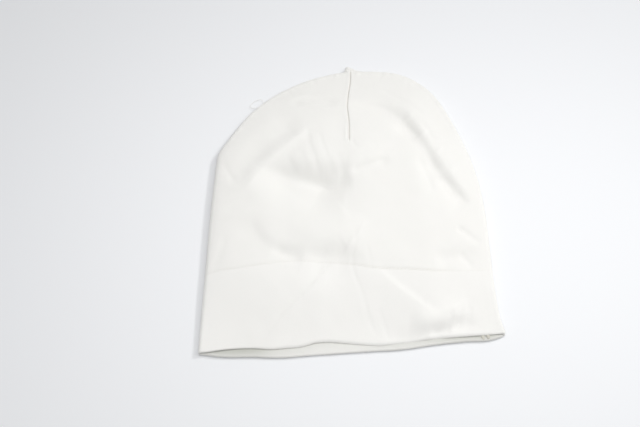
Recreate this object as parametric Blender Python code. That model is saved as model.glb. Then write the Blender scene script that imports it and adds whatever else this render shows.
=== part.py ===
"""Cotton jersey nightcap lying flat, its mouth towards -Y and its crown towards +Y.

The real cap is one tube of jersey. A curved seam closes it over the crown from side to side, a dart takes in
the upper face, the seam ends stand out as a small tip, and a deep hem is turned in at the mouth.
It is hollow: a face and a back of thin cloth that meet in a fold at each side, open at the mouth.
Each ring of points goes once round the cap, across the face from left to right and back across the back.
"""

import bmesh
import bpy
import numpy as np

# Sizes in metres, measured on the cap as it lies flat.
HALF_WIDTH = 0.1165
LENGTH = 0.259
MOUTH_CLIMB = 0.0154  # how much further up the right end of the mouth lies than the left one
PLY = 0.0010
HEM_DEPTH = 0.066
HEM_PLY = 0.0010
FOLD_BEND = 0.0010  # inside radius of the side folds at the hem
SEAM_BEND = 0.0014  # inside radius along the crown's seam
LOFT = 0.0088  # how far the face swells off the back
SWELL_WIDTH = 0.042  # how far in from the edge it takes to do so
DART_ACROSS = 0.0025  # from the middle of the cap, to the right
DART_LENGTH = 0.081
DART_WIDTH = 0.0032
DART_DEPTH = 0.0014
DART_LIP = 0.0007  # height of the lip of cloth along the dart's left side
DART_FADE = 0.008  # length over which the dart's lower end levels out
TIP_LENGTH = 0.0055
TIP_WIDTH = 0.0090
TIP_RADIUS = 0.0018
MOUTH_REACH = 0.0093  # how far the mouth's edge bows out between the side folds
EDGE_ROUNDING = 0.0008
HEM_STEP = 0.0005  # how far the hem's upper edge shows through the face
HEM_STEP_WIDTH = 0.004

COLOUR = (0.90, 0.895, 0.87, 1.0)
ROUGHNESS = 0.9

# How finely the cloth is faceted.
FACE_COLUMNS = 12  # from each fold to the dart
BACK_COLUMNS = 10
ROWS = 42

# The outline from mouth to crown. "along" is a share of LENGTH, "left" and "right" are shares of HALF_WIDTH.
SECTION_COLUMNS = ("along", "left", "right")
SECTIONS = (
    (0.000, -1.000, 1.030),
    (0.040, -1.000, 1.012),
    (0.110, -1.000, 1.000),
    (0.250, -0.998, 0.997),
    (0.390, -0.998, 0.998),
    (0.485, -0.995, 0.984),
    (0.560, -0.990, 0.958),
    (0.625, -0.985, 0.925),
    (0.678, -0.974, 0.889),
    (0.711, -0.934, 0.864),
    (0.768, -0.858, 0.818),
    (0.838, -0.748, 0.752),
    (0.898, -0.600, 0.668),
    (0.942, -0.443, 0.566),
    (0.973, -0.282, 0.455),
    (0.989, -0.150, 0.345),
    (0.998, -0.050, 0.190),
)
CROWN_FROM = 0.69  # the share of LENGTH at which the left fold ends and the crown's seam begins

# The tip. "along" is a share of TIP_LENGTH and "wide" of TIP_WIDTH.
TIP_COLUMNS = ("along", "wide")
TIP = ((0.00, 1.00), (0.45, 0.95), (0.85, 0.80), (1.00, 0.45))

# How high the face swells. "along" is a share of LENGTH and "swell" of LOFT.
SWELL_TABLE_COLUMNS = ("along", "swell")
SWELL_TABLE = (
    (0.00, 0.50),
    (0.12, 0.56),
    (0.26, 0.62),
    (0.42, 0.80),
    (0.58, 0.94),
    (0.78, 1.00),
    (1.00, 0.80),
)

# The mouth's edge. "across" runs from -1 at the left fold to 1 at the right one. "face" and "back" say how far
# each reaches out, as shares of MOUTH_REACH.
MOUTH_COLUMNS = ("across", "face", "back")
MOUTH = (
    (-1.00, 0.00, 0.00),
    (-0.72, 0.02, 0.46),
    (-0.43, 0.30, 0.90),
    (-0.20, 0.00, 1.00),
    (0.05, 0.28, 0.98),
    (0.28, 0.52, 0.94),
    (0.65, 0.04, 0.52),
    (0.82, 0.00, 0.40),
    (1.00, 0.00, 0.00),
)

# Dents and ridges of the face. Each runs straight from one point to another. "x" and "spread" are shares of
# HALF_WIDTH, "y" is a share of LENGTH and "rise" of LOFT.
FOLD_COLUMNS = ("x1", "y1", "x2", "y2", "spread", "rise")
FOLDS = (
    # The roll along the right shoulder, and the valley on its inner side.
    (0.52, 0.85, 0.90, 0.46, 0.095, 0.38),
    (0.34, 0.80, 0.74, 0.47, 0.085, -0.24),
    # The valley across the left shoulder.
    (-0.44, 0.72, -0.90, 0.46, 0.110, -0.26),
    # The slanting crease from the middle down to the mouth, and the short curved one to its left.
    (0.08, 0.36, -0.20, 0.215, 0.060, -0.14),
    (-0.20, 0.215, -0.53, 0.05, 0.050, -0.10),
    (-0.65, 0.39, -0.46, 0.30, 0.060, -0.12),
    (-0.46, 0.30, -0.28, 0.33, 0.060, -0.12),
    # The ridge towards the right of the mouth, and the dent below it.
    (0.25, 0.20, 0.62, 0.06, 0.070, 0.14),
    (0.50, 0.02, 0.84, 0.06, 0.080, -0.14),
    # The mouth's edge stands up in an arch left of the middle.
    (-0.20, -0.03, -0.16, 0.09, 0.220, 0.30),
)

# The same, where the dart takes in the face and so goes with it. "down" is measured from the dart's lower end
# towards the mouth, as a share of DART_LENGTH.
DART_FOLD_COLUMNS = ("x1", "down1", "x2", "down2", "spread", "rise")
DART_FOLDS = (
    # The bulge round the end of the dart, and the hollow that curves below it.
    (-0.12, 0.14, 0.12, 0.10, 0.230, 0.36),
    (-0.50, 0.33, -0.24, 0.47, 0.090, -0.28),
    (-0.16, 0.55, -0.04, 0.57, 0.130, -0.58),
    (0.08, 0.49, 0.32, 0.33, 0.090, -0.24),
)


def smooth(at, knots, values):
    """Values read at "at" from the smooth cubic curve that takes the given values at the knots."""
    knots = np.asarray(knots, float)
    values = np.asarray(values, float)
    slopes = np.gradient(values, knots, axis=0)
    start = np.clip(np.searchsorted(knots, at, side="right") - 1, 0, len(knots) - 2)
    shape = np.shape(at) + (1,) * (values.ndim - 1)
    gap = (knots[start + 1] - knots[start]).reshape(shape)
    t = np.reshape(at - knots[start], shape) / gap
    return (
        (2 * t**3 - 3 * t**2 + 1) * values[start]
        + (t**3 - 2 * t**2 + t) * gap * slopes[start]
        + (3 * t**2 - 2 * t**3) * values[start + 1]
        + (t**3 - t**2) * gap * slopes[start + 1]
    )


def body_rows():
    """Rows of (along, left, right) up the tube and over the crown, evenly spaced round the outline.

    Two more rows lie beside the hem's upper edge, where the wall changes its thickness, and two where the dart
    ends.
    """
    sized = np.array(SECTIONS) * (LENGTH, HALF_WIDTH, HALF_WIDTH)
    steps = np.linalg.norm(np.diff(sized, axis=0), axis=1)
    stations = np.concatenate([[0.0], np.cumsum(steps)])
    even = smooth(np.linspace(0.0, stations[-1], ROWS), stations, sized)
    dart_end = LENGTH - DART_LENGTH
    hem = (HEM_DEPTH - HEM_STEP_WIDTH / 2, HEM_DEPTH + HEM_STEP_WIDTH / 2)
    extra = np.array(hem + (dart_end, dart_end + DART_FADE))
    left = np.interp(extra, even[:, 0], even[:, 1])
    right = np.interp(extra, even[:, 0], even[:, 2])
    rows = np.concatenate([even, np.stack([extra, left, right], axis=1)])
    return rows[np.argsort(rows[:, 0])]


def tip_rows():
    """Rows of (along, left, right) for the tip, where the seam ends stand out past the crown."""
    along, wide = np.array(TIP).T
    half = TIP_WIDTH / 2 * wide
    return np.stack([LENGTH + TIP_LENGTH * along, DART_ACROSS - half, DART_ACROSS + half], axis=1)


def distance_inside(x, y, rows):
    """How far each point lies inside the outline that the rows' left ends and right ends make."""
    start = np.concatenate([rows[:-1, [1, 0]], rows[:-1, [2, 0]]])
    end = np.concatenate([rows[1:, [1, 0]], rows[1:, [2, 0]]])
    run = end - start
    points = np.stack([x, y], axis=-1)[:, None, :]
    share = ((points - start) * run).sum(-1) / (run * run).sum(-1)
    nearest = start + np.clip(share, 0.0, 1.0)[..., None] * run
    return np.linalg.norm(points - nearest, axis=-1).min(-1)


def quarter_round(share):
    """Height of a quarter circle, 0 at its edge and 1 from share 1 inwards."""
    inside = np.clip(share, 0.0, 1.0)
    return np.sqrt(1.0 - (1.0 - inside) ** 2)


def all_folds():
    """Every dent and ridge as (start, end, spread, rise), in metres."""
    dart_end = LENGTH - DART_LENGTH
    folds = []
    for x1, y1, x2, y2, spread, rise in FOLDS:
        start = np.array([x1 * HALF_WIDTH, y1 * LENGTH])
        end = np.array([x2 * HALF_WIDTH, y2 * LENGTH])
        folds.append((start, end, spread * HALF_WIDTH, rise * LOFT))
    for x1, down1, x2, down2, spread, rise in DART_FOLDS:
        start = np.array([x1 * HALF_WIDTH, dart_end - down1 * DART_LENGTH])
        end = np.array([x2 * HALF_WIDTH, dart_end - down2 * DART_LENGTH])
        folds.append((start, end, spread * HALF_WIDTH, rise * LOFT))
    return folds


def fold_height(x, y):
    """The dents and ridges of the face at each point, each a bell curve about its own straight line."""
    total = np.zeros_like(x)
    for start, end, spread, rise in all_folds():
        run = end - start
        dx = x - start[0]
        dy = y - start[1]
        share = np.clip((dx * run[0] + dy * run[1]) / (run @ run), 0.0, 1.0)
        away = np.hypot(dx - share * run[0], dy - share * run[1])
        total += rise * np.exp(-((away / spread) ** 2))
    return total


def dart_height(x, y):
    """The dart: a groove with a lip along its left side, which fades out at its lower end."""
    fade = np.clip((y - (LENGTH - DART_LENGTH)) / DART_FADE, 0.0, 1.0)
    half = DART_WIDTH / 2
    groove = -DART_DEPTH * np.exp(-(((x - DART_ACROSS) / half) ** 2))
    lip = DART_LIP * np.exp(-(((x - DART_ACROSS + DART_WIDTH) / half) ** 2))
    return fade * (groove + lip)


def swell(x, y, inside):
    """How far the face lies above where it would lie flat on the back."""
    along, shares = np.array(SWELL_TABLE).T
    height = LOFT * np.interp(y / LENGTH, along, shares)
    hem = HEM_STEP * np.clip((HEM_DEPTH - y) / HEM_STEP_WIDTH, -0.5, 0.5)
    near_edge = 1.0 - np.clip(inside / SWELL_WIDTH, 0.0, 1.0)
    return (1.0 - near_edge**2) * (height + fold_height(x, y) + dart_height(x, y) + hem)


def edge_radii(along):
    """Outside radius of the rounded edge at one row, and the height of the row's middle above the floor."""
    side = FOLD_BEND + PLY + HEM_PLY
    seam = SEAM_BEND + PLY
    if along > LENGTH:
        return TIP_RADIUS, seam
    crown = np.clip((along / LENGTH - CROWN_FROM) / (1.0 - CROWN_FROM), 0.0, 1.0)
    radius = side + (seam - side) * crown
    return radius, radius


def columns_across(left, right, radius):
    """The x of each point of one ring, and which of them are on the face.

    Columns stand close together round the folds and beside the dart, and evenly between.
    """
    turns = np.radians([0.0, 30.0, 60.0])
    fold = radius * (1.0 - np.cos(turns))
    room = min(right - radius - DART_ACROSS, DART_ACROSS - left - radius)
    beside = min(DART_WIDTH, room / 3) * np.array([-1.0, -0.5, 0.0, 0.5, 1.0])
    dart = DART_ACROSS + beside
    to_dart = np.linspace(left + radius, dart[0], FACE_COLUMNS + 1)[:-1]
    from_dart = np.linspace(dart[-1], right - radius, FACE_COLUMNS + 1)[1:]
    face = np.concatenate([left + fold, to_dart, dart, from_dart, (right - fold)[::-1]])
    under = np.linspace(right - radius, left + radius, BACK_COLUMNS + 1)
    back = np.concatenate([(right - fold)[1:], under, (left + fold)[:0:-1]])
    return np.concatenate([face, back]), np.arange(len(face) + len(back)) < len(face)


def mouth_shift(x, left, right, is_face):
    """How far the mouth's edge moves out from its straight line, towards -Y."""
    across, face, back = np.array(MOUTH).T
    share = (2 * x - left - right) / (right - left)
    return -MOUTH_REACH * np.where(is_face, smooth(share, across, face), smooth(share, across, back))


def inset_rows(rows, depths):
    """The rows of an inner skin: each end moves in by its depth, square to the outline."""
    slopes = np.gradient(rows, axis=0)
    narrowing = (slopes[:, 1] - slopes[:, 2]) / 2
    climb = slopes[:, 0]
    moved = rows.copy()
    moved[:, 1] += depths * climb / np.hypot(climb, slopes[:, 1])
    moved[:, 2] -= depths * climb / np.hypot(climb, slopes[:, 2])
    moved[:, 0] -= depths * np.abs(narrowing) / np.hypot(climb, narrowing)
    return moved


def skin(rows, depths, edge_rows):
    """Rings of points for one side of the cloth, from mouth to crown.

    "depths" says how far each row lies inside the outer side of the cloth, which ends at edge_rows.
    """
    rings = []
    for (along, left, right), depth in zip(inset_rows(rows, depths), depths):
        radius, level = edge_radii(along)
        x, is_face = columns_across(left, right, radius - depth)
        fade = np.clip(1.0 - along / (2 * HEM_DEPTH), 0.0, 1.0) ** 2
        y = along + fade * mouth_shift(x, left, right, is_face)
        inside = distance_inside(x, y, edge_rows)
        rounded = (radius - depth) * quarter_round((inside - depth) / (radius - depth))
        z = np.where(is_face, level + rounded + swell(x, y, inside), level - rounded)
        rings.append(np.stack([x, y, z], axis=1))
    return rings


def hem_edge(outer, inner):
    """The ring along the hem's folded edge: midway through the cloth, and a little proud of both sides."""
    ring = (outer + inner) / 2
    ring[:, 1] -= EDGE_ROUNDING
    return ring


def cap_rings():
    """All rings in order: the outer skin from tip to mouth, the hem's edge, and the inner skin up to the crown."""
    body = body_rows()
    whole = np.concatenate([body, tip_rows()])
    outer = skin(whole, np.zeros(len(whole)), whole)
    walls = PLY + HEM_PLY * (body[:, 0] < HEM_DEPTH)
    inner = skin(body, walls, whole)
    return outer[::-1] + [hem_edge(outer[0], inner[0])] + inner


def placed(rings):
    """The rings skewed as the cap lies, then moved so that the middle of their box's base is the origin."""
    points = np.array(rings)
    points[..., 1] += MOUTH_CLIMB / (2 * HALF_WIDTH) * points[..., 0]
    low = points.min(axis=(0, 1))
    high = points.max(axis=(0, 1))
    return points - np.array([(low[0] + high[0]) / 2, (low[1] + high[1]) / 2, low[2]])


def closed_mesh(rings):
    """A closed mesh: a band of triangles from ring to ring, and a fan over the first ring and the last.

    The bands' diagonals lean the same way on both sides of the cloth, so that its facets keep their distance.
    """
    shape = bmesh.new()
    made = [[shape.verts.new(point) for point in ring] for ring in rings]
    count = len(made[0])
    after = [(k + 1) % count for k in range(count)]
    for n in range(len(made) - 1):
        ring, following = made[n], made[n + 1]
        inward = rings[n + 1][:, 1].mean() > rings[n][:, 1].mean()
        for k in range(count):
            first = ring[k] if inward else ring[after[k]]
            second = following[after[k]] if inward else following[k]
            shape.faces.new((ring[k], ring[after[k]], second))
            shape.faces.new((first, following[after[k]], following[k]))
    for ring, points in ((made[0], rings[0]), (made[-1], rings[-1])):
        pole = shape.verts.new(points.mean(axis=0))
        for k in range(count):
            shape.faces.new((ring[k], ring[after[k]], pole))
    bmesh.ops.recalc_face_normals(shape, faces=shape.faces[:])
    mesh = bpy.data.meshes.new("cap")
    shape.to_mesh(mesh)
    shape.free()
    return mesh


def jersey():
    """White cotton jersey, matt."""
    material = bpy.data.materials.new("jersey")
    material.use_nodes = True
    shader = material.node_tree.nodes["Principled BSDF"]
    shader.inputs["Base Color"].default_value = COLOUR
    shader.inputs["Roughness"].default_value = ROUGHNESS
    shader.inputs["Metallic"].default_value = 0.0
    return material


def main():
    for old in list(bpy.data.objects):
        bpy.data.objects.remove(old)
    mesh = closed_mesh(placed(cap_rings()))
    mesh.shade_smooth()
    mesh.materials.append(jersey())
    cap = bpy.data.objects.new("cap", mesh)
    bpy.context.scene.collection.objects.link(cap)


main()
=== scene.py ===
import math
import bpy
import numpy as np
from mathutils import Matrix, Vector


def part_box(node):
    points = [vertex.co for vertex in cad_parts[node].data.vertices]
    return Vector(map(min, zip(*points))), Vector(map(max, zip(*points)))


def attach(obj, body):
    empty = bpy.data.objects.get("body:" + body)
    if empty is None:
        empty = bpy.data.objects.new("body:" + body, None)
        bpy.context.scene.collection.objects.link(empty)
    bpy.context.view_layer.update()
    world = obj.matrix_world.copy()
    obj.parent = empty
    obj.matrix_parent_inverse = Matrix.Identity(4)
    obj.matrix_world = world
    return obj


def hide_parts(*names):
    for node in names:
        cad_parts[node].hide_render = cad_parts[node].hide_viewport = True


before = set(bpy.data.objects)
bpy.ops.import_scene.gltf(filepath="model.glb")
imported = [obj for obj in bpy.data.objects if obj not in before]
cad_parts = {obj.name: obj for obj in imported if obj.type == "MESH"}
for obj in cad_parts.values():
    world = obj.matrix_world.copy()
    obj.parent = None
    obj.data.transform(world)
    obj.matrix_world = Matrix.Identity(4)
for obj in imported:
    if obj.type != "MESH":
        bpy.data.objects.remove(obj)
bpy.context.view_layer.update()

# The cloth of the cap. One tube of white cotton jersey lies flat: a face and a back that meet in a plain
# fold at each side. The tube is cut round and sewn shut over the crown, a dart takes in the face below it,
# and the mouth's edge is turned in as a deep hem.

# Lengths are in millimetres, on the cap as it would lie square: x across from its middle, y up from its
# mouth and z up from the table. "placed" skews it, as it lies in the frame, and brings it to metres.

MM = 0.001
LENGTH = 259.0
MOUTH_CLIMB = 15.4  # how much further up the right end of the mouth lies than the left one
PLY = 1.0
HEM_DEPTH = 66.0
FOLD_RADIUS = 3.0  # outside radius of the rounded edge at the side folds
SEAM_RADIUS = 2.4  # the same along the crown's seam

# The outline. Each row is a share of the length, then the left and the right edge there as shares of half
# the width at the hem.
OUTLINE = (
    (0.000, -1.000, 1.030),
    (0.040, -1.000, 1.012),
    (0.110, -1.000, 1.000),
    (0.250, -0.998, 0.997),
    (0.390, -0.998, 0.998),
    (0.485, -0.995, 0.984),
    (0.560, -0.990, 0.958),
    (0.625, -0.985, 0.925),
    (0.678, -0.974, 0.889),
    (0.711, -0.934, 0.864),
    (0.768, -0.858, 0.818),
    (0.838, -0.748, 0.752),
    (0.898, -0.600, 0.668),
    (0.942, -0.443, 0.566),
    (0.973, -0.282, 0.455),
    (0.989, -0.150, 0.345),
    (0.998, -0.050, 0.190),
)
CROWN_FROM = 0.69 * LENGTH  # where the left fold ends and the crown's seam begins

low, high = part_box("cap")
HALF_WIDTH = (high[0] - low[0]) / MM / (OUTLINE[0][2] - OUTLINE[0][1])
SKEW = MOUTH_CLIMB / (2 * HALF_WIDTH)

# The seam ends that stand out past the crown as a small tip, above the dart. Each row is a share of its
# length, then its left and right edge there as shares of half its width.
TIP_ACROSS = 4.0
TIP_LENGTH = 5.5
TIP_WIDTH = 9.0
TIP_RADIUS = 1.8
TIP = (
    (0.00, -0.98, 1.75),
    (0.30, -0.94, 1.45),
    (0.60, -0.90, 1.10),
    (0.85, -0.88, 0.60),
    (1.00, -0.70, 0.15),
)
TIP_ROWS = 8
OUTLINE_POINTS = 2000  # points by which the way round the outline is measured


def smooth(at, knots, values):
    """The cubic curve through the knots, read at "at". A knot's slope is the mean of those beside it."""
    knots = np.asarray(knots, float)
    values = np.asarray(values, float)
    slopes = np.gradient(values, knots, axis=0)
    at = np.clip(at, knots[0], knots[-1])
    start = np.clip(np.searchsorted(knots, at, side="right") - 1, 0, len(knots) - 2)
    shape = np.shape(at) + (1,) * (values.ndim - 1)
    gap = (knots[start + 1] - knots[start]).reshape(shape)
    t = np.reshape(at - knots[start], shape) / gap
    return (
        (2 * t**3 - 3 * t**2 + 1) * values[start]
        + (t**3 - 2 * t**2 + t) * gap * slopes[start]
        + (3 * t**2 - 2 * t**3) * values[start + 1]
        + (t**3 - t**2) * gap * slopes[start + 1]
    )


def eased(share):
    """0 below share 0 and 1 above share 1, with an even S-curve between."""
    t = np.clip(share, 0.0, 1.0)
    return t * t * (3.0 - 2.0 * t)


def outline_rows(count):
    """Rows of (along, left, right), spaced half by height and half by way round, then the tip's rows."""
    table = np.array(OUTLINE) * (LENGTH, HALF_WIDTH, HALF_WIDTH)
    steps = np.linalg.norm(np.diff(table, axis=0), axis=1)
    stations = np.concatenate([[0.0], np.cumsum(steps)])
    fine = smooth(np.linspace(0.0, stations[-1], OUTLINE_POINTS), stations, table)
    way = np.concatenate([[0.0], np.cumsum(np.linalg.norm(np.diff(fine, axis=0), axis=1))])
    measure = (way + fine[:, 0]) / 2
    even = np.linspace(0.0, measure[-1], count)
    body = np.stack([np.interp(even, measure, column) for column in fine.T], axis=1)
    along, left, right = np.array(TIP).T
    share = np.linspace(along[0], along[-1], TIP_ROWS)
    left_end = TIP_ACROSS + TIP_WIDTH / 2 * np.interp(share, along, left)
    right_end = TIP_ACROSS + TIP_WIDTH / 2 * np.interp(share, along, right)
    tip = np.stack([LENGTH + TIP_LENGTH * share, left_end, right_end], axis=1)
    return body, tip


def distance_inside(x, y, rows):
    """How far points lie inside the outline: their least distance to a piece of its left or right edge."""
    start = np.concatenate([rows[:-1, [1, 0]], rows[:-1, [2, 0]]])
    end = np.concatenate([rows[1:, [1, 0]], rows[1:, [2, 0]]])
    nearest = np.full(x.shape, np.inf)
    for (ax, ay), (bx, by) in zip(start, end):
        run_x, run_y = bx - ax, by - ay
        share = np.clip(((x - ax) * run_x + (y - ay) * run_y) / (run_x**2 + run_y**2), 0.0, 1.0)
        away = (x - ax - share * run_x) ** 2 + (y - ay - share * run_y) ** 2
        np.minimum(nearest, away, out=nearest)
    return np.sqrt(nearest)


def quarter_round(share):
    """Height of a quarter circle, 0 at its edge and 1 from share 1 inwards."""
    inside = np.clip(share, 0.0, 1.0)
    return np.sqrt(1.0 - (1.0 - inside) ** 2)


# The dart runs down the face from the tip. Its stitches pull the cloth into a narrow groove. Each pair is a
# height up the cap and the groove's x there.
DART = ((176.0, 2.0), (198.0, 2.2), (212.0, 1.2), (225.0, 2.0), (246.0, 4.8), (264.0, 5.2))
DART_END = 176.0
DART_TOP = 257.0
DART_FADE = 5.0
DART_TOP_FADE = 2.0
GROOVE_DEPTH = 1.5
GROOVE_HALF = 0.42
GROOVE_POWER = 1.5  # below 2, so that its bottom is sharper than a bell curve's
LIP_RISE = 0.08
LIP_AWAY = 2.2
LIP_HALF = 1.8
LEFT_LIP = 1.3  # how many times the rise each lip stands up
RIGHT_LIP = 0.6
DART_REACH = 3.4  # how far to each side of the groove its fine columns of points run


def dart_x(y):
    """Where the dart's groove lies across the cap at each height."""
    ys, xs = np.array(DART).T
    return smooth(y, ys, xs)


def dart_relief(x, y):
    """The dart's groove, with a low rounded lip along each side, fading out at its lower end."""
    away = x - dart_x(y)
    fade = eased((y - DART_END + DART_FADE / 2) / DART_FADE) * (1.0 - eased((y - DART_TOP) / DART_TOP_FADE))
    groove = -GROOVE_DEPTH * np.exp(-np.abs(away / GROOVE_HALF) ** GROOVE_POWER)
    left = LEFT_LIP * np.exp(-(((away + LIP_AWAY) / LIP_HALF) ** 2))
    right = RIGHT_LIP * np.exp(-(((away - LIP_AWAY) / LIP_HALF) ** 2))
    return fade * (groove + LIP_RISE * (left + right))


# Folds, dents and ridges of the face. Each row is a name, the rise (below zero for a hollow), how wide it is
# to the left and to the right of its path, walking along it, the length over which it dies out at each end,
# or at its first and its last end, and the path's places (x, y).
FOLDS = (
    ("hollow under the dart", -3.2, 13, 32, (60, 36),
     ((-92, 158), (-76, 153), (-59, 147), (-38, 139), (-23, 134), (-8, 131), (6, 131), (14, 133))),
    ("deepest part of it", -5.2, 9, 22, (34, 24),
     ((-84, 156), (-70, 152), (-58, 148), (-46, 144), (-34, 139.5), (-22, 134), (-12, 130), (-1, 129))),
    ("broad right end of it", -3.4, 14, 8, (26, 13),
     ((-44, 148), (-32, 144), (-20, 140), (-10, 138), (0, 137), (6, 137))),
    ("arm of the hollow", -1.6, 4, 5, 10, ((0, 143), (8, 147), (18, 150), (28, 153), (38, 157))),
    ("bulge at the dart's end", 3.2, 22, 12, 34,
     ((-58, 172), (-46, 166), (-22, 160), (4, 158), (30, 168), (44, 178))),
    ("roll along the right shoulder", 2.3, 16, 7, 34,
     ((36, 221), (56, 205), (64, 191), (70, 177), (81, 156), (91, 136), (97, 124), (106, 108))),
    ("upper strand of the trough", -2.4, 6, 13, 30,
     ((-8, 216), (12, 215), (30, 211), (44, 201), (53, 190), (60, 177), (64, 162))),
    ("middle strand of the trough", -1.6, 4, 10, 14,
     ((46, 200), (60, 181), (66, 168), (73, 153), (80, 138))),
    ("lower strand of the trough", -2.2, 5, 11, 14,
     ((70, 158), (76, 144), (85, 130), (93, 118), (101, 104))),
    ("foot of the trough", -1.6, 4, 9, 9, ((80, 138), (88, 127), (96, 116), (102, 106))),
    ("crumple across the trough", 0.6, 2.4, 3, 5, ((48, 192), (54, 197), (60, 203))),
    ("second crumple across it", 0.7, 2.6, 2.6, 5, ((58, 172), (66, 178), (72, 184))),
    ("third crumple across it", 0.6, 2.2, 3, 5, ((70, 155), (77, 159), (84, 166))),
    ("fourth crumple across it", 0.7, 2.6, 2.4, 5, ((80, 134), (87, 139), (94, 144))),
    ("fifth crumple across it", 0.5, 2.2, 2.4, 4, ((88, 119), (95, 123), (101, 127))),
    ("thin crease on the roll", -0.5, 3, 3, 12, ((30, 236), (49, 219), (66, 203), (72, 196))),
    ("crease across the roll", -0.5, 2.5, 3, 8, ((66, 196), (74, 178), (80, 168))),
    ("short crease below the trough", -0.8, 3, 5, 10, ((60, 160), (66, 145), (71, 127), (72, 118))),
    ("ridge on the left shoulder", 1.9, 5, 10, 20,
     ((-28, 198), (-44, 184), (-55, 174), (-65, 165), (-74, 155), (-82, 145), (-90, 132))),
    ("valley above that ridge", -2.0, 10, 14, 20,
     ((-38, 204), (-53, 191), (-64, 182), (-74, 173), (-83, 163), (-92, 151), (-100, 138))),
    ("dip at the left side", -1.0, 5, 6, 14, ((-112, 117), (-97, 122), (-84, 128), (-76, 134))),
    ("crease from the left corner", -0.8, 3, 3, 12, ((-111, 168), (-101, 150), (-94, 138))),
    ("crease beside it", -0.5, 3, 3, 6, ((-113, 152), (-103, 146))),
    ("crown band's lower edge", 1.3, 14, 6, 26,
     ((-62, 228), (-38, 222), (-14, 214), (14, 210), (38, 209))),
    ("streak in the crown band", -1.3, 4, 6, 12,
     ((-54, 222), (-40, 225), (-28, 225), (-16, 221), (-8, 214))),
    ("left arc over the hem", -2.1, 7, 16, 22,
     ((-84, 116), (-80, 100), (-72, 87), (-60, 78), (-46, 74), (-33, 73), (-22, 75))),
    ("deepest part of the left arc", -1.2, 5, 5, 10, ((-64, 82), (-50, 74), (-36, 71))),
    ("fullness over the hem", 2.0, 18, 12, (30, 24),
     ((-52, 96), (-34, 93), (-18, 91), (-6, 91), (4, 94), (16, 103))),
    ("dip below it", -4.0, 10, 16, (18, 20), ((-38, 72), (-22, 69), (-10, 68), (0, 70), (8, 76))),
    ("long slanting crease", 0.8, 6, 2.4, 34,
     ((20, 104), (11, 92), (3, 81), (-6, 70), (-15, 62), (-30, 44), (-42, 33), (-55, 19), (-68, 2))),
    ("fine crease to the mouth", -0.24, 1.8, 2.2, 14,
     ((6, 96), (6, 86), (3, 68), (4, 54), (8, 43), (11, 32), (15, 16), (22, 0))),
    ("finer crease beside it", -0.2, 1.8, 1.8, 8, ((14, 80), (16, 68), (19, 54))),
    ("finest crease at the mouth", -0.2, 1.8, 1.8, 6, ((22, 26), (26, 12), (30, -2))),
    ("ridge towards the right of the mouth", 1.0, 3.8, 11, 16,
     ((14, 62), (26, 51), (36, 41), (51, 28), (63, 17), (72, 9))),
    ("dent at the right of the mouth", -1.5, 10, 5, 18,
     ((22, -2), (40, -2), (54, -1), (68, 0.5), (80, 3), (92, 6), (106, 10))),
    ("left part of that dent", -0.8, 6, 4, 9, ((38, -2), (52, -1), (64, 0.5), (76, 3))),
    ("deep part of that dent", -1.4, 4.5, 3, 7, ((60, 2), (70, 3.5), (80, 5.5))),
    ("right part of that dent", -1.2, 6, 4, 8, ((76, 4), (86, 7), (98, 10))),
    ("fullness above the dent", 2.3, 9, 7, 16, ((44, 11), (58, 12), (70, 14), (82, 17), (96, 22))),
    ("streak above it", -0.6, 1.8, 1.8, 6, ((74, 3), (77, 12), (79, 20))),
    ("next streak", -0.8, 1.8, 2.2, 7, ((83, 5), (85, 14), (88, 24))),
    ("last streak", -0.7, 1.8, 2.0, 7, ((90, 7), (93, 16), (94, 25))),
    ("short crease at the right", -1.0, 3, 3, 6, ((88, 90), (95, 84), (105, 76), (110, 73))),
    ("soft dip below it", -1.6, 6, 7, 12, ((66, 60), (80, 63), (92, 64), (108, 68))),
    ("branch of it", -0.9, 3, 3, 5, ((90, 68), (94, 60), (100, 52))),
    ("crease by the left fold", -0.6, 4, 3, 12, ((-101, 98), (-104, 83), (-108, 69), (-110, 54))),
    ("steep pucker under the dart", -0.5, 2.2, 4, 10, ((-34, 196), (-33, 178), (-28, 160), (-22, 142))),
    ("pucker left of it", -0.3, 2.6, 3, 8, ((-42, 172), (-38, 160), (-33, 146))),
    ("pucker further left", -0.4, 2.2, 4, 8, ((-54, 166), (-48, 157), (-43, 146))),
    ("pucker right of it", -0.25, 2, 3, 8, ((-25, 190), (-20, 170), (-14, 152), (-10, 140))),
    ("pucker below the dart", -0.2, 2.2, 3, 8, ((-9, 166), (-6, 154), (-2, 140))),
    ("pucker right of the dart", -0.2, 3, 3, 8, ((12, 172), (14, 158), (14, 146))),
    ("stitch ends beside the dart", 0.22, 0.9, 0.8, 3, ((-1.3, 175), (-1.0, 184), (-1.2, 193))),
    ("pucker from the dart's end", -0.3, 2.2, 2.2, 6, ((3, 180), (6, 172), (10, 164))),
)
FOLD_PATH_POINTS = 160  # close enough for a bend in the path to leave no spokes
FOLD_REACH = 3  # how many widths away from its path a fold still counts


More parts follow.
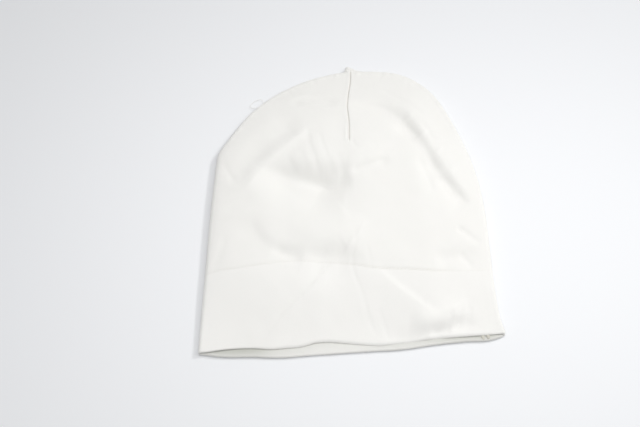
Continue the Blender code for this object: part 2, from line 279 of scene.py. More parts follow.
def fold_relief(x, y):
    """The sum of all folds, each a bell curve of the distance to the nearest piece of its path."""
    total = np.zeros_like(x)
    for _, rise, left, right, fade, path in FOLDS:
        knots = np.array(path, float)
        steps = np.linalg.norm(np.diff(knots, axis=0), axis=1)
        stations = np.concatenate([[0.0], np.cumsum(steps)])
        line = smooth(np.linspace(0.0, stations[-1], FOLD_PATH_POINTS), stations, knots)
        reach = FOLD_REACH * max(left, right)
        (low_x, low_y), (high_x, high_y) = line.min(axis=0) - reach, line.max(axis=0) + reach
        near = (x > low_x) & (x < high_x) & (y > low_y) & (y < high_y)
        px, py = x[near], y[near]
        best = np.full(px.shape, np.inf)
        side = np.zeros(px.shape)
        way = np.zeros(px.shape)
        gone = 0.0
        for (ax, ay), (bx, by) in zip(line[:-1], line[1:]):
            run_x, run_y = bx - ax, by - ay
            long = math.hypot(run_x, run_y)
            share = np.clip(((px - ax) * run_x + (py - ay) * run_y) / long**2, 0.0, 1.0)
            off_x, off_y = px - ax - share * run_x, py - ay - share * run_y
            away = np.hypot(off_x, off_y)
            closer = away < best
            best[closer] = away[closer]
            side[closer] = (run_x * off_y - run_y * off_x)[closer]
            way[closer] = (gone + share * long)[closer]
            gone += long
        width = np.where(side > 0, left, right)
        fade_in, fade_out = np.broadcast_to(fade, 2)
        window = eased(way / fade_in) * eased((gone - way) / fade_out)
        total[near] += rise * window * np.exp(-((best / width) ** 2))
    return total


# How high the face swells off the back. Each pair is a place up the cap and the height there.
SWELL = ((0, 2.4), (31, 3.8), (67, 5.2), (109, 6.8), (150, 7.8), (202, 7.6), (259, 5.4))
SWELL_WIDTH = 58.0  # how far in from the edge it takes to rise
EDGE_SHARE = 0.3  # how much of it rises steeply, just inside the edge
EDGE_WIDTH = 8.0

# The mouth. Each row is an x, the y where the face begins to turn into the hem's folded edge, how far it
# stands up there, the y where the back begins to turn, and by how many degrees the face's edge curls down.
MOUTH = (
    (-116, 0.6, 0.0, 0.8, 5),
    (-110, 0.7, -0.6, 0.0, 6),
    (-103, 1.4, -1.0, -1.4, 8),
    (-94, 2.1, -1.4, -2.5, 12),
    (-84, 2.5, -1.6, -3.1, 20),
    (-73, 2.2, -1.6, -3.8, 30),
    (-61, 1.0, -1.6, -5.0, 40),
    (-50, 1.3, -1.6, -5.7, 46),
    (-38, 1.7, -1.5, -5.5, 50),
    (-27, 4.0, -1.4, -5.3, 52),
    (-16, 4.0, -1.5, -5.4, 54),
    (-4, 2.2, -1.6, -5.3, 56),
    (7, 0.5, -1.6, -5.3, 56),
    (22, -1.3, -1.3, -5.4, 56),
    (34, -1.0, -0.6, -5.6, 55),
    (45, -0.6, 0.1, -5.2, 54),
    (61, 1.0, 0.8, -3.8, 54),
    (76, 1.2, 0.7, -3.0, 52),
    (92, 1.2, -0.2, -2.6, 48),
    (107, 1.0, -1.3, -2.9, 36),
    (115, 0.6, -1.2, -1.4, 20),
    (120, 0.4, -0.3, 0.0, 8),
)
MOUTH_FADE = 95.0  # height at which the mouth's own edge no longer shifts the rows
MOUTH_LIFT_FADE = 34.0

# The upper edge of the turned-in hem shows through the face as a thin groove, with the hem's low step below
# it. Each row is an x, the groove's y and its depth.
HEM_LINE = (
    (-120, 60, 0.08),
    (-106, 63.5, 0.14),
    (-88, 65, 0.20),
    (-67, 67, 0.16),
    (-49, 68, 0.10),
    (-23, 66, 0.12),
    (3, 62, 0.22),
    (19, 58, 0.34),
    (45, 55, 0.36),
    (71, 52, 0.30),
    (88, 51, 0.08),
    (120, 50, 0.03),
)
HEM_STEP = 0.14
HEM_STEP_WIDTH = 6.0
HEM_GROOVE_HALF = 0.9

# The seam allowance lies inside along the crown's seam and presses through as a low band, and the seam's
# stitches gather small puckers beside it.
ALLOWANCE_WIDTH = 4.6
ALLOWANCE_RISE = 0.32
ALLOWANCE_FROM = 1.5  # width over which the band rises, just inside the edge
CROWN_FADE = 12.0  # length over which it begins, above the left fold
CROWN_MIDDLE = (3.0, 150.0)  # the place that the puckers are spread round
CROWN_RADIUS = 112.0
PUCKER_RISE = 0.22
PUCKER_LENGTH = 7.0
PUCKER_REACH = 9.0
PUCKER_FROM = 2.0

# Loose cloth is never quite even: long, low waves run through it in every direction.
WAVES = 24
LONGEST_WAVE = 70.0
SHORTEST_WAVE = 16.0
WAVE_RISE = 0.0012  # as a share of each wave's length
DETAIL_FROM = 4.0  # width over which the fine relief comes in, just inside the edge


def cloth_unevenness(x, y):
    """Gentle rolling of loose cloth: the sum of cosine waves of many lengths in seeded directions."""
    draw = np.random.default_rng(7)
    total = np.zeros_like(x)
    for length in np.geomspace(LONGEST_WAVE, SHORTEST_WAVE, WAVES):
        turn, phase = draw.uniform(0.0, 2 * np.pi, 2)
        wave = (x * np.cos(turn) + y * np.sin(turn)) / length
        total += WAVE_RISE * length * np.cos(2 * np.pi * wave + phase)
    return total


def seam_relief(x, y, inside):
    """The band that the seam allowance presses up along the crown, and small puckers square to the seam."""
    on_crown = eased((y - CROWN_FROM) / CROWN_FADE)
    band = ALLOWANCE_RISE * eased(inside / ALLOWANCE_FROM) * (1.0 - eased(inside - ALLOWANCE_WIDTH))
    round_way = np.arctan2(y - CROWN_MIDDLE[1], x - CROWN_MIDDLE[0]) * CROWN_RADIUS
    draw = np.random.default_rng(11)
    ripple = np.zeros_like(x)
    for length in PUCKER_LENGTH * np.array([1.0, 1.37, 1.9, 2.7]):
        ripple += np.cos(2 * np.pi * round_way / length + draw.uniform(0.0, 2 * np.pi)) / 2
    near = np.exp(-((inside / PUCKER_REACH) ** 2)) * eased(inside / PUCKER_FROM)
    return on_crown * (band + PUCKER_RISE * ripple * near)


def hem_relief(x, y):
    """The hem's step, and the groove along its upper edge."""
    xs, ys, grooves = np.array(HEM_LINE).T
    above = y - smooth(x, xs, ys)
    step = HEM_STEP * eased(0.5 - above / HEM_STEP_WIDTH)
    return step - smooth(x, xs, grooves) * np.exp(-((above / HEM_GROOVE_HALF) ** 2))


def face_swell(x, y, inside):
    """The broad shape of the face above its rounded edge: its swell and folds, and its lift at the mouth."""
    ys, heights = np.array(SWELL).T
    near_edge = 1.0 - np.clip(inside / SWELL_WIDTH, 0.0, 1.0)
    at_edge = EDGE_SHARE * quarter_round(inside / EDGE_WIDTH)
    general = (at_edge + (1.0 - EDGE_SHARE) * (1.0 - near_edge**2)) * smooth(y, ys, heights)
    xs, _, lifts, _, _ = np.array(MOUTH).T
    at_mouth = np.exp(-((np.clip(y, 0.0, None) / MOUTH_LIFT_FADE) ** 2))
    lift = smooth(x, xs, lifts)
    folds = (1.0 - near_edge**4) * (fold_relief(x, y) + cloth_unevenness(x, y))
    return general + at_mouth * (lift - general) + folds


def face_detail(x, y, inside):
    """The fine relief of the face: the dart, the hem's step and the crown's seam."""
    stitched = dart_relief(x, y) + hem_relief(x, y)
    return quarter_round(inside / DETAIL_FROM) * stitched + seam_relief(x, y, inside)


def edge_radii(along):
    """Outside radius of the rounded edge at each row, and the height of its middle above the table."""
    crown = np.clip((along - CROWN_FROM) / (LENGTH - CROWN_FROM), 0.0, 1.0)
    level = FOLD_RADIUS + (SEAM_RADIUS - FOLD_RADIUS) * crown
    return np.where(along > LENGTH, TIP_RADIUS, level), level


FOLD_SWEEP = 75.0  # degrees round each side fold that its own columns take up
DART_CLEARANCE = 9  # the dart's columns keep this part of the row's width away from its ends


def columns_across(along, left, right, radius, to_dart, from_dart, beside, fold_points, back_points):
    """The x of every point of each row, once round the cap, and which columns are on the face.

    Columns close up round the side folds and beside the dart, and are even between. Beside the dart they
    follow its groove and take a third of the room at most.
    """
    fold = radius * (1.0 - np.cos(np.radians(np.linspace(0.0, FOLD_SWEEP, fold_points))))
    keep_off = (right - left) / DART_CLEARANCE
    dart = np.clip(dart_x(along), left + radius + keep_off, right - radius - keep_off)
    room = np.minimum(right - radius - dart, dart - left - radius) / 3
    middle = dart + np.minimum(DART_REACH, room) * np.linspace(-1.0, 1.0, beside)
    first, last = left + radius, right - radius
    left_part = first + (middle[:, :1] - first) * np.linspace(0.0, 1.0, to_dart + 1)[:-1]
    right_part = middle[:, -1:] + (last - middle[:, -1:]) * np.linspace(0.0, 1.0, from_dart + 1)[1:]
    face = np.hstack([left + fold, left_part, middle, right_part, (right - fold)[:, ::-1]])
    under = last + (first - last) * np.linspace(0.0, 1.0, back_points)
    back = np.hstack([(right - fold)[:, 1:], under, (left + fold)[:, :0:-1]])
    return np.hstack([face, back]), np.arange(face.shape[1] + back.shape[1]) < face.shape[1]


def mouth_shift(x, y, is_face):
    """How far each row is moved along the cap so that the rows near the mouth follow its edges."""
    xs, face_y, _, back_y, _ = np.array(MOUTH).T
    shift = np.where(is_face, smooth(x, xs, face_y), smooth(x, xs, back_y))
    return np.clip(1.0 - y / MOUTH_FADE, 0.0, 1.0) ** 2 * shift


def skin(rows, depth, edge, counts):
    """One side of the cloth as a grid of points: rows up the cap, columns once round it.

    The face's height is its edge's level, a quarter round from the edge inwards, the swell and the fine
    relief. The back is the same quarter round downwards. "depth" is how far inside the outer side it lies.
    """
    along, left, right = (column[:, None] for column in rows.T)
    depth = depth[:, None]
    radius, level = edge_radii(along)
    radius = np.minimum(radius, (right - left) / 3)
    x, is_face = columns_across(along, left, right, radius - depth, *counts)
    y = along + mouth_shift(x, along, is_face)
    inside = distance_inside(x, y, edge)
    rounded = (radius - depth) * quarter_round((inside - depth) / (radius - depth))
    face = level + rounded + face_swell(x, y, inside) + face_detail(x, y, inside)
    back = level - rounded
    points = np.stack([x, y, np.where(is_face, face, back)], axis=-1)
    return points, np.broadcast_to(is_face, x.shape), inside


def inset(rows, depth):
    """The rows of an inner skin: each end moves in by its depth, square to the outline."""
    slopes = np.gradient(rows, axis=0)
    narrowing = (slopes[:, 1] - slopes[:, 2]) / 2
    moved = rows.copy()
    moved[:, 1] += depth * slopes[:, 0] / np.hypot(slopes[:, 0], slopes[:, 1])
    moved[:, 2] -= depth * slopes[:, 0] / np.hypot(slopes[:, 0], slopes[:, 2])
    moved[:, 0] -= depth * np.abs(narrowing) / np.hypot(slopes[:, 0], narrowing)
    return moved


def placed(points):
    """Points in metres in the frame: skewed as the cap lies, with its sides and its tip at the frame's."""
    x, y, z = np.moveaxis(np.asarray(points, float), -1, 0)
    middle = (OUTLINE[0][1] + OUTLINE[0][2]) / 2 * HALF_WIDTH
    tip_top = LENGTH + TIP_LENGTH + SKEW * (TIP_ACROSS + TIP_WIDTH / 2 * TIP[-1][2])
    place_x = (low[0] + high[0]) / 2 + (x - middle) * MM
    place_y = high[1] + (y + SKEW * x - tip_top) * MM
    return np.stack([place_x, place_y, z * MM], axis=-1)


def grid_faces(first, second):
    """Quads between neighbouring rings of point numbers, closed round each ring."""
    return np.stack([first, np.roll(first, -1, -1), np.roll(second, -1, -1), second], axis=-1).reshape(-1, 4)


def made_object(name, points, faces, uv=None, values=None):
    """A smooth-shaded mesh object from points in millimetres, with a map of knit places and point values."""
    mesh = bpy.data.meshes.new(name)
    mesh.from_pydata(placed(points).tolist(), [], [list(face) for face in faces])
    mesh.update()
    if uv is not None:
        corners = np.zeros(len(mesh.loops), dtype=np.int32)
        mesh.loops.foreach_get("vertex_index", corners)
        mesh.uv_layers.new(name="knit").data.foreach_set("uv", uv[corners].astype(np.float32).ravel())
    for label, numbers in (values or {}).items():
        layer = mesh.attributes.new(label, "FLOAT", "POINT")
        layer.data.foreach_set("value", np.asarray(numbers, np.float32).ravel())
    mesh.shade_smooth()
    piece = bpy.data.objects.new(name, mesh)
    bpy.context.scene.collection.objects.link(piece)
    return piece


# The grid of the outer skin is fine enough for creases of 2 mm. The inner skin is fine at the mouth, where
# it shows, and has a third of the columns further in.
FACE_LEFT = 99
FACE_RIGHT = 92
BESIDE_DART = 25
FOLD_POINTS = 5
BACK_POINTS = 87
OUTER_ROWS = 240
MOUTH_ROWS = 12
INNER_ROWS = 84
EDGE_ROWS = 90  # rows of the outline from which distances are measured
ROW_GAP = 1.0
HEM_FADE = 4.0
EDGE_BULK = 0.3
EDGE_BULK_REACH = 6.0
EDGE_BULK_FROM = 10.0  # width over which it comes in from the side folds
FACE_THINNER = 0.5  # how much of that plumpness the face's edge lacks, and how much more the back's has
BACK_THICKER = 0.7
COUNTS = (FACE_LEFT, FACE_RIGHT, BESIDE_DART, FOLD_POINTS, BACK_POINTS)

body_rows, tip_rows = outline_rows(OUTER_ROWS)
whole_rows = np.concatenate([body_rows, tip_rows])
coarse_rows, _ = outline_rows(EDGE_ROWS)
edge_rows = np.concatenate([coarse_rows, tip_rows])
outer, is_face, _ = skin(whole_rows, np.zeros(len(whole_rows)), edge_rows, COUNTS)
columns = outer.shape[1]

inner_start = body_rows[:MOUTH_ROWS]
inner_rest, _ = outline_rows(INNER_ROWS)
inner_rest = inner_rest[inner_rest[:, 0] > inner_start[-1, 0] + ROW_GAP]


def wall(rows):
    """Thickness at each row: two plies as far as the hem reaches, one above it, and plump at the edge."""
    two_plies = PLY * (1.0 - eased((rows[:, 0] - HEM_DEPTH) / HEM_FADE))
    return PLY + two_plies + EDGE_BULK * np.exp(-((rows[:, 0] / EDGE_BULK_REACH) ** 2))


def inner_skin(rows):
    """The cloth's inner side at the rows, thickened at the hem's edge."""
    moved = inset(rows, wall(rows))
    points, face, inside = skin(moved, wall(rows), edge_rows, COUNTS)
    bulk = np.exp(-((rows[:, :1] / EDGE_BULK_REACH) ** 2)) * quarter_round(inside / EDGE_BULK_FROM)
    points[..., 2] += bulk * np.where(face, FACE_THINNER, BACK_THICKER)
    return points


inner_fine = inner_skin(inner_start)
inner_deep = inner_skin(inner_rest)[:, ::3]

# The hem's folded edge. The face's curls down and the back's a little up, each round a circle, and a half
# round then joins the outer side to the inner one.
FACE_CURL_RADIUS = 3.2
BACK_CURL_RADIUS = 8.0
BACK_CURL = 6.0
CURL_STEPS = 4
EDGE_TURNS = np.radians([36.0, 72.0, 108.0, 144.0])

xs, _, _, _, curls = np.array(MOUTH).T
turn = np.radians(np.where(is_face[0], smooth(outer[0, :, 0], xs, curls), BACK_CURL))
bend = np.where(is_face[0], FACE_CURL_RADIUS, BACK_CURL_RADIUS)
upward = np.where(is_face[0], -1.0, 1.0)
thickness = wall(inner_start)[0]


def curled(row, radius, share):
    """The row carried on round its circle by a share of the whole curl."""
    moved = row.copy()
    moved[:, 1] -= radius * np.sin(share * turn)
    moved[:, 2] += upward * radius * (1.0 - np.cos(share * turn))
    return moved


shares = np.linspace(0.0, 1.0, CURL_STEPS + 1)[1:]
outer_curl = np.array([curled(outer[0], bend, share) for share in shares])
inner_curl = np.array([curled(inner_fine[0], bend - thickness, share) for share in shares])
half = (outer_curl[-1] - inner_curl[-1]) / 2
onward = np.stack([np.zeros_like(turn), -np.cos(turn), upward * np.sin(turn)], axis=-1)
proud = np.linalg.norm(half, axis=1)[:, None] * onward
turns = EDGE_TURNS[:, None, None]
edge = (outer_curl[-1] - half) + half * np.cos(turns) + proud * np.sin(turns)

# The skins as one closed mesh, whose faces point outwards. Three columns of the fine part meet one of the
# deep part, and a fan of triangles closes each skin at the tip.
rings = np.concatenate([outer[::-1], outer_curl, edge, inner_curl[::-1], inner_fine])
numbers = np.arange(rings[..., 0].size).reshape(rings.shape[:2])
deep_numbers = numbers.size + np.arange(inner_deep[..., 0].size).reshape(inner_deep.shape[:2])
top_pole = numbers.size + deep_numbers.size
points = np.concatenate([
    rings.reshape(-1, 3),
    inner_deep.reshape(-1, 3),
    outer[-1:].mean(axis=1),
    inner_deep[-1:].mean(axis=1),
])
quads = np.concatenate([
    grid_faces(numbers[1:], numbers[:-1]),
    grid_faces(deep_numbers[1:], deep_numbers[:-1]),
])
last, first_deep = numbers[-1], deep_numbers[0]
following = np.roll(first_deep, -1)
join = np.concatenate([
    np.stack([last[0::3], first_deep, last[1::3]], axis=1),
    np.stack([last[1::3], first_deep, following], axis=1),
    np.stack([last[1::3], following, last[2::3]], axis=1),
    np.stack([last[2::3], following, np.roll(last, -3)[0::3]], axis=1),
])
start, end = numbers[0], deep_numbers[-1]
fans = np.concatenate([
    np.stack([start, np.roll(start, -1), np.full_like(start, top_pole)], axis=1),
    np.stack([np.roll(end, -1), end, np.full_like(end, top_pole + 1)], axis=1),
])
faces = quads.tolist() + join.tolist() + fans.tolist()

# The knit: the width of a wale, which is a column of loops, and the height of a course, which is a row.
WALE = 0.95
COURSE = 0.75


def knit_places(points, face):
    """The map of the knit: x and y in wales and courses, mirrored past the right fold on the back."""
    across = np.where(face, points[..., 0], 2 * HALF_WIDTH - points[..., 0])
    return np.stack([across / WALE, points[..., 1] / COURSE], axis=-1).reshape(-1, 2)


face_flags = np.broadcast_to(is_face[0], rings.shape[:2])
deep_flags = np.broadcast_to(is_face[0][::3], inner_deep.shape[:2])
uv = np.concatenate([
    knit_places(rings, face_flags),
    knit_places(inner_deep, deep_flags),
    knit_places(points[top_pole:], np.array([True, True])),
])

# Below the hem's line the cloth is two plies thick and a little less see-through. Along that line and in the
# dart the stitching dents the cloth, and painted shade darkens its colour there, for the shade that gathers
# in the grooves.
PLY_CHANGE = 1.2  # width over which one ply's tone turns into two plies'
DART_SHADE_HALF = 0.5
FULL_SHADE_DEPTH = 0.38  # depth of groove that has the whole shade
line_x, line_y, line_depth = np.array(HEM_LINE).T
above = points[:, 1] - smooth(points[:, 0], line_x, line_y)
plies = eased(0.5 - above / PLY_CHANGE)
on_face = np.concatenate([face_flags.ravel(), deep_flags.ravel(), [False, False]])
groove_depth = smooth(points[:, 0], line_x, line_depth)
along_hem = np.exp(-((above / HEM_GROOVE_HALF) ** 2)) * groove_depth / FULL_SHADE_DEPTH
from_dart = (points[:, 0] - dart_x(points[:, 1])) / DART_SHADE_HALF
in_dart = np.exp(-(from_dart**2)) * ((points[:, 1] > DART_END) & (points[:, 1] < DART_TOP))
painted_groove_shade = np.where(on_face, np.maximum(along_hem, in_dart), 0.0)

# From the hem's folded edge inwards the wrong side of the knit is painted grey: a little of it is the wrong
# side's own greyer tone, most of it painted shade for the inside of the mouth, which lies in shadow under
# the face's edge. Each pair is an x and how much of that grey it has there. The rings take it on step by
# step, round the edge and inwards, so the painted shade grows darker deeper in.
INSIDE_SHADE_BY_X = (
    (-120, 0.8),
    (-96, 1.1),
    (-84, 1.1),
    (-73, 1.0),
    (-60, 0.6),
    (-40, 0.42),
    (-27, 0.32),
    (4, 0.36),
    (28, 0.56),
    (51, 0.62),
    (78, 1.0),
    (98, 1.1),
    (114, 1.0),
    (120, 0.7),
)
# How much painted shade each ring takes, rising from the folded edge into the mouth.
ring_inside_shade = np.concatenate([
    np.zeros(len(outer)),
    np.linspace(0.0, 0.15, CURL_STEPS),
    np.linspace(0.2, 0.45, len(EDGE_TURNS)),
    np.linspace(0.5, 0.65, CURL_STEPS),
    np.minimum(np.linspace(0.7, 1.9, len(inner_fine)), 1.5),
])
inside_painted_shade = np.concatenate([np.repeat(ring_inside_shade, columns), np.ones(inner_deep[..., 0].size), [0.0, 1.0]])
inside_shade_x, inside_shade_there = np.array(INSIDE_SHADE_BY_X).T
inside_painted_shade = np.minimum(inside_painted_shade * smooth(points[:, 0], inside_shade_x, inside_shade_there), 1.0)
tones = {"doubled": plies, "painted_groove_shade": painted_groove_shade, "inside_painted_shade": inside_painted_shade}
cap = made_object("cap_jersey", points, faces, uv, tones)
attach(cap, "root")
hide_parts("cap")

# The finish of the jersey: washed white cotton, a little warm and quite matt, with a faint bloom of loose
# fibres and the low relief of its knit.
JERSEY_WHITE = (0.920, 0.911, 0.880)
SINGLE_PLY_WHITE = (0.910, 0.901, 0.868)
# Painted shade for the grooves of the hem's line and the dart.
GROOVE_PAINTED_SHADE_COLOUR = (0.83, 0.815, 0.775)
# Painted shade inside the mouth: the grey that the wrong side is darkened towards.
INSIDE_PAINTED_SHADE_COLOUR = (0.60, 0.604, 0.555)
KNIT_RELIEF = 0.00012
FIBRE_RELIEF = 0.00005


def sum_node(tree, kind, first, second=0.0):
    """A math node of the given kind whose inputs are sockets or numbers, and its output."""
    node = tree.nodes.new("ShaderNodeMath")
    node.operation = kind
    for socket, value in zip(node.inputs, (first, second)):
        if isinstance(value, (int, float)):
            socket.default_value = value
        else:
            tree.links.new(value, socket)
    return node.outputs[0]


def jersey_material():
    """White jersey. In its relief each wale has two round legs, and each leg a bead for every course."""
    material = bpy.data.materials.new("jersey")
    material.use_nodes = True
    tree = material.node_tree
    shader = tree.nodes["Principled BSDF"]
    shader.inputs["Roughness"].default_value = 0.92
    shader.inputs["Specular IOR Level"].default_value = 0.25
    shader.inputs["Sheen Weight"].default_value = 0.12
    shader.inputs["Sheen Roughness"].default_value = 0.45

    knit = tree.nodes.new("ShaderNodeUVMap")
    knit.uv_map = "knit"
    split = tree.nodes.new("ShaderNodeSeparateXYZ")
    tree.links.new(knit.outputs["UV"], split.inputs[0])
    across = sum_node(tree, "FRACT", split.outputs["X"])
    leg = sum_node(tree, "ABSOLUTE", sum_node(tree, "SUBTRACT", across, 0.5))
    round_leg = sum_node(tree, "SINE", sum_node(tree, "MULTIPLY", leg, 2 * math.pi))
    slant = sum_node(tree, "ADD", split.outputs["Y"], leg)
    bead = sum_node(tree, "COSINE", sum_node(tree, "MULTIPLY", slant, 2 * math.pi))
    beaded = sum_node(tree, "MULTIPLY_ADD", bead, 0.25)
    beaded.node.inputs[2].default_value = 0.75
    knit_height = sum_node(tree, "MULTIPLY", round_leg, beaded)

    place = tree.nodes.new("ShaderNodeTexCoord")
    fibres = tree.nodes.new("ShaderNodeTexNoise")
    fibres.inputs["Scale"].default_value = 900.0
    fibres.inputs["Detail"].default_value = 3.0
    tree.links.new(place.outputs["Object"], fibres.inputs["Vector"])
    fine = tree.nodes.new("ShaderNodeBump")
    fine.inputs["Strength"].default_value = 1.0
    fine.inputs["Distance"].default_value = FIBRE_RELIEF
    tree.links.new(fibres.outputs["Fac"], fine.inputs["Height"])
    coarse = tree.nodes.new("ShaderNodeBump")
    coarse.inputs["Strength"].default_value = 1.0
    coarse.inputs["Distance"].default_value = KNIT_RELIEF
    tree.links.new(knit_height, coarse.inputs["Height"])
    tree.links.new(fine.outputs["Normal"], coarse.inputs["Normal"])
    tree.links.new(coarse.outputs["Normal"], shader.inputs["Normal"])

    plies = tree.nodes.new("ShaderNodeAttribute")
    plies.attribute_name = "doubled"
    white = tree.nodes.new("ShaderNodeMix")
    white.data_type = "RGBA"
    white.inputs[6].default_value = (*SINGLE_PLY_WHITE, 1.0)
    white.inputs[7].default_value = (*JERSEY_WHITE, 1.0)
    tree.links.new(plies.outputs["Fac"], white.inputs["Factor"])

    # Painted shade in the grooves of the hem's line and the dart.
    groove_shade_attribute = tree.nodes.new("ShaderNodeAttribute")
    groove_shade_attribute.attribute_name = "painted_groove_shade"
    shaded = tree.nodes.new("ShaderNodeMix")
    shaded.data_type = "RGBA"
    shaded.inputs[7].default_value = (*GROOVE_PAINTED_SHADE_COLOUR, 1.0)
    tree.links.new(groove_shade_attribute.outputs["Fac"], shaded.inputs["Factor"])
    tree.links.new(white.outputs[2], shaded.inputs[6])

    # Painted shade inside the mouth, darkening the wrong side from the hem's folded edge inwards.
    sides = tree.nodes.new("ShaderNodeAttribute")
    sides.attribute_name = "inside_painted_shade"
    inside_shaded = tree.nodes.new("ShaderNodeMix")
    inside_shaded.data_type = "RGBA"
    inside_shaded.inputs[7].default_value = (*INSIDE_PAINTED_SHADE_COLOUR, 1.0)
    tree.links.new(sides.outputs["Fac"], inside_shaded.inputs["Factor"])
    tree.links.new(shaded.outputs[2], inside_shaded.inputs[6])
    tree.links.new(inside_shaded.outputs[2], shader.inputs["Base Color"])
    return material


jersey = jersey_material()
cap.data.materials.append(jersey)

# The thread that holds the hem: one row of short stitches along its upper edge, drawn a little into the
# cloth. It is the same white cotton as the cap.
STITCH_LENGTH = 2.1
STITCH_PITCH = 2.9
STITCH_RADIUS = 0.20
STITCH_PROUD = 0.06  # how far the middle of the thread stands above the cloth
STITCH_TAPER = (0.35, 0.8, 1.0, 1.0, 1.0, 0.8, 0.35)
STITCH_SIDES = 6
STITCHES_FROM = -106.0
STITCHES_TO = 108.0
THREAD_WHITE = (0.90, 0.89, 0.855)


def face_height(x, y):
    """Height of the face's outer side above the table at points of the cap."""
    inside = distance_inside(x, y, edge_rows)
    radius, level = edge_radii(y)
    rounded = radius * quarter_round(inside / radius)
    return level + rounded + face_swell(x, y, inside) + face_detail(x, y, inside)


def tube(path, radii, around):
    """A closed round tube: each path point plus its radius times (cos(t) * side + sin(t) * up)."""
    path = np.asarray(path, float)
    run = np.gradient(path, axis=0)
    run /= np.linalg.norm(run, axis=1)[:, None]
    side = np.cross(run, (0.0, 0.0, 1.0))
    side /= np.maximum(np.linalg.norm(side, axis=1), 1e-6)[:, None]
    up = np.cross(side, run)
    turns = np.linspace(0.0, 2 * np.pi, around, endpoint=False)
    ring = np.cos(turns)[None, :, None] * side[:, None] + np.sin(turns)[None, :, None] * up[:, None]
    shell = path[:, None] + np.asarray(radii, float)[:, None, None] * ring
    numbers = np.arange(shell.shape[0] * around).reshape(-1, around)
    first = np.full(around, numbers.size)
    walls = grid_faces(numbers[1:], numbers[:-1]).tolist()
    start_cap = np.stack([first, numbers[0], np.roll(numbers[0], -1)], axis=1).tolist()
    end_cap = np.stack([first + 1, np.roll(numbers[-1], -1), numbers[-1]], axis=1).tolist()
    return np.concatenate([shell.reshape(-1, 3), path[:1], path[-1:]]), walls + start_cap + end_cap


def joined(parts):
    """The points and faces of several small meshes as one."""
    points, faces, count = [], [], 0
    for part_points, part_faces in parts:
        points.append(part_points)
        faces += [[number + count for number in face] for face in part_faces]
        count += len(part_points)
    return np.concatenate(points), faces


def thread_material(name, colour):
    """Matt sewing cotton."""
    material = bpy.data.materials.new(name)
    material.use_nodes = True
    shader = material.node_tree.nodes["Principled BSDF"]
    shader.inputs["Base Color"].default_value = (*colour, 1.0)
    shader.inputs["Roughness"].default_value = 0.8
    shader.inputs["Specular IOR Level"].default_value = 0.3
    return material


thread = thread_material("thread", THREAD_WHITE)
stitch_points = len(STITCH_TAPER)
starts = np.arange(STITCHES_FROM, STITCHES_TO, STITCH_PITCH)
across = starts[:, None] + STITCH_LENGTH * np.linspace(0.0, 1.0, stitch_points)
up_cap = smooth(across, line_x, line_y)
heights = face_height(across, up_cap)
drawn_in = STITCH_RADIUS * np.abs(np.linspace(-1.0, 1.0, stitch_points)) ** 3
arched = STITCH_PROUD * np.sin(np.linspace(0.0, np.pi, stitch_points)) - drawn_in
stitch_radii = STITCH_RADIUS * np.array(STITCH_TAPER)
stitch_paths = np.stack([across, up_cap, heights + arched], axis=-1)
stitch_tubes = [tube(path, stitch_radii, STITCH_SIDES) for path in stitch_paths]
stitches = made_object("hem_stitches", *joined(stitch_tubes))
stitches.data.materials.append(thread)
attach(stitches, "root")
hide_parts("cap")

# A loose end of the crown seam's thread. It curls out past the edge at the left shoulder, sinks towards the
# table and thins out at its end.
LOOSE_RADIUS = 0.20
LOOSE_POINTS = 40
LOOSE_TAPERED = 4
LOOSE_SIDES = 8
LOOSE_PATH = (
    (-78.5, 221.0, 2.6),
    (-82.5, 224.6, 2.4),
    (-86.6, 225.6, 1.4),
    (-88.2, 228.2, 0.9),
    (-86.2, 231.4, 1.0),
    (-82.8, 233.8, 1.3),
    (-79.6, 235.0, 1.2),
    (-77.0, 233.6, 0.8),
    (-76.0, 230.6, 0.6),
    (-77.6, 228.6, 0.5),
)
knots = np.array(LOOSE_PATH)
loose_path = smooth(np.linspace(0.0, len(knots) - 1.0, LOOSE_POINTS), np.arange(len(knots)), knots)
thinning = np.linspace(0.95, 0.4, LOOSE_TAPERED)
loose_radii = LOOSE_RADIUS * np.concatenate([np.ones(LOOSE_POINTS - LOOSE_TAPERED), thinning])
loose = made_object("loose_thread", *tube(loose_path, loose_radii, LOOSE_SIDES))
loose.data.materials.append(thread)
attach(loose, "root")
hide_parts("cap")

# The end of the right side's seam. Its cut edges, overcast in ecru thread, are folded into narrow plies that
# poke out of the mouth beside each other. Their ecru is painted darker, as shade for the dark hollow between
# the folded plies.
# Ecru thread darkened with painted shade for the hollow of the folded seam end.
SEAM_ECRU_AND_SHADE = (0.62, 0.60, 0.53)
PLY_WIDTH = 2.6
PLY_HEIGHT = 1.8
PLY_POINTS = 20
PLY_SIDES = 16
PLY_TAPER = (0.95, 0.8, 0.5)
SEAM_PLIES = (
    ((101.6, 6.0, 3.0), (101.8, 1.0, 3.0), (102.2, -2.4, 2.8), (102.8, -4.8, 1.9)),
    ((105.4, 6.0, 3.0), (105.7, 1.0, 3.2), (106.2, -2.2, 3.0), (106.8, -4.0, 2.5)),
)
stretch = np.array([PLY_WIDTH / 2, 1.0, PLY_HEIGHT / 2])
ends = np.concatenate([np.ones(PLY_POINTS - len(PLY_TAPER)), PLY_TAPER])
seam_parts = []
for ply in SEAM_PLIES:
    knots = np.array(ply)
    line = smooth(np.linspace(0.0, len(knots) - 1.0, PLY_POINTS), np.arange(len(knots)), knots)
    ply_points, ply_faces = tube(line, ends, PLY_SIDES)
    middle = np.concatenate([np.repeat(line, PLY_SIDES, axis=0), line[:1], line[-1:]])
    seam_parts.append((middle + (ply_points - middle) * stretch, ply_faces))
seam_end = made_object("side_seam_end", *joined(seam_parts))
# The plies' material: ecru thread with painted shade.
ecru_and_painted_shade = thread_material("ecru_and_painted_shade", SEAM_ECRU_AND_SHADE)
seam_end.data.materials.append(ecru_and_painted_shade)
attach(seam_end, "root")
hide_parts("cap")

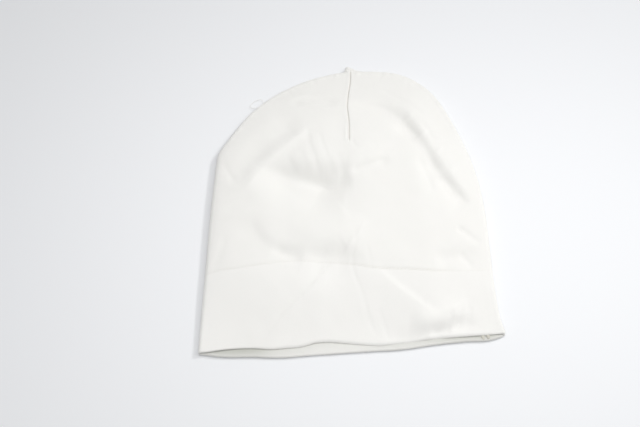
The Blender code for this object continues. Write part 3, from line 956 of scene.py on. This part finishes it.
# The table that the cap lies on: a plain pale sheet, matt and far wider than the view. It is part of the
# picture and not of the cap.
TABLE_WHITE = (0.862, 0.870, 0.884)
TABLE_HALF = 3.0
table_mesh = bpy.data.meshes.new("table")
table_corners = [(x * TABLE_HALF, y * TABLE_HALF, 0.0) for x, y in ((-1, -1), (1, -1), (1, 1), (-1, 1))]
table_mesh.from_pydata(table_corners, [], [(0, 1, 2, 3)])
table = bpy.data.objects.new("table", table_mesh)
bpy.context.scene.collection.objects.link(table)
table_material = bpy.data.materials.new("table_white")
table_material.use_nodes = True
table_shader = table_material.node_tree.nodes["Principled BSDF"]
table_shader.inputs["Base Color"].default_value = (*TABLE_WHITE, 1.0)
table_shader.inputs["Roughness"].default_value = 0.85
table_shader.inputs["Specular IOR Level"].default_value = 0.2
table.data.materials.append(table_material)

# The light of a small white studio: an even glow all round, two soft lights above, a narrow and a wide one,
# and a soft one at the right.
AMBIENT = 0.54
AMBIENT_WHITE = (0.985, 0.99, 1.0)
world = bpy.data.worlds.new("studio")
world.use_nodes = True
glow = world.node_tree.nodes["Background"]
glow.inputs["Color"].default_value = (*AMBIENT_WHITE, 1.0)
glow.inputs["Strength"].default_value = AMBIENT
bpy.context.scene.world = world


def soft_light(name, aim, azimuth, elevation, distance, size, power):
    """A soft oblong light aimed at a place, from an azimuth (0 from +X, 90 from +Y) and an elevation."""
    lamp = bpy.data.lights.new(name, "AREA")
    lamp.shape = "RECTANGLE"
    lamp.size, lamp.size_y = size
    lamp.energy = power
    lit = bpy.data.objects.new(name, lamp)
    side, rise = math.radians(azimuth), math.radians(elevation)
    away = (math.cos(side) * math.cos(rise), math.sin(side) * math.cos(rise), math.sin(rise))
    lit.location = [target + distance * part for target, part in zip(aim, away)]
    lit.rotation_euler = (math.pi / 2 - rise, 0.0, side + math.pi / 2)
    lit.visible_camera = False
    bpy.context.scene.collection.objects.link(lit)


soft_light("light_above", (0.13, -0.045, 0.0), 0.0, 90.0, 0.42, (0.15, 0.65), 0.76)
soft_light("light_overhead", (0.0, -0.02, 0.0), 0.0, 90.0, 0.62, (0.4, 0.4), 0.36)
soft_light("light_far_right", (0.0, 0.0, 0.0), 31.0, 40.0, 2.4, (0.3, 0.3), 15.5)

# The camera looks down at the cap over its mouth, as steeply as the photograph does. Its distance suits the
# cap's sides, which are straight and parallel, as a tube's are.
CAMERA_AIM = (-0.02525, -0.01416, 0.0)
CAMERA_DISTANCE = 0.530
CAMERA_ELEVATION = math.radians(64.0)
lens = bpy.data.cameras.new("camera")
lens.lens = 35.0
lens.sensor_width = 36.0
lens.clip_start = 0.02
camera = bpy.data.objects.new("camera", lens)
camera.location = (
    CAMERA_AIM[0],
    CAMERA_AIM[1] - CAMERA_DISTANCE * math.cos(CAMERA_ELEVATION),
    CAMERA_DISTANCE * math.sin(CAMERA_ELEVATION),
)
camera.rotation_euler = (math.pi / 2 - CAMERA_ELEVATION, 0.0, 0.0)
bpy.context.scene.collection.objects.link(camera)
bpy.context.scene.camera = camera
bpy.context.scene.view_settings.view_transform = "Standard"
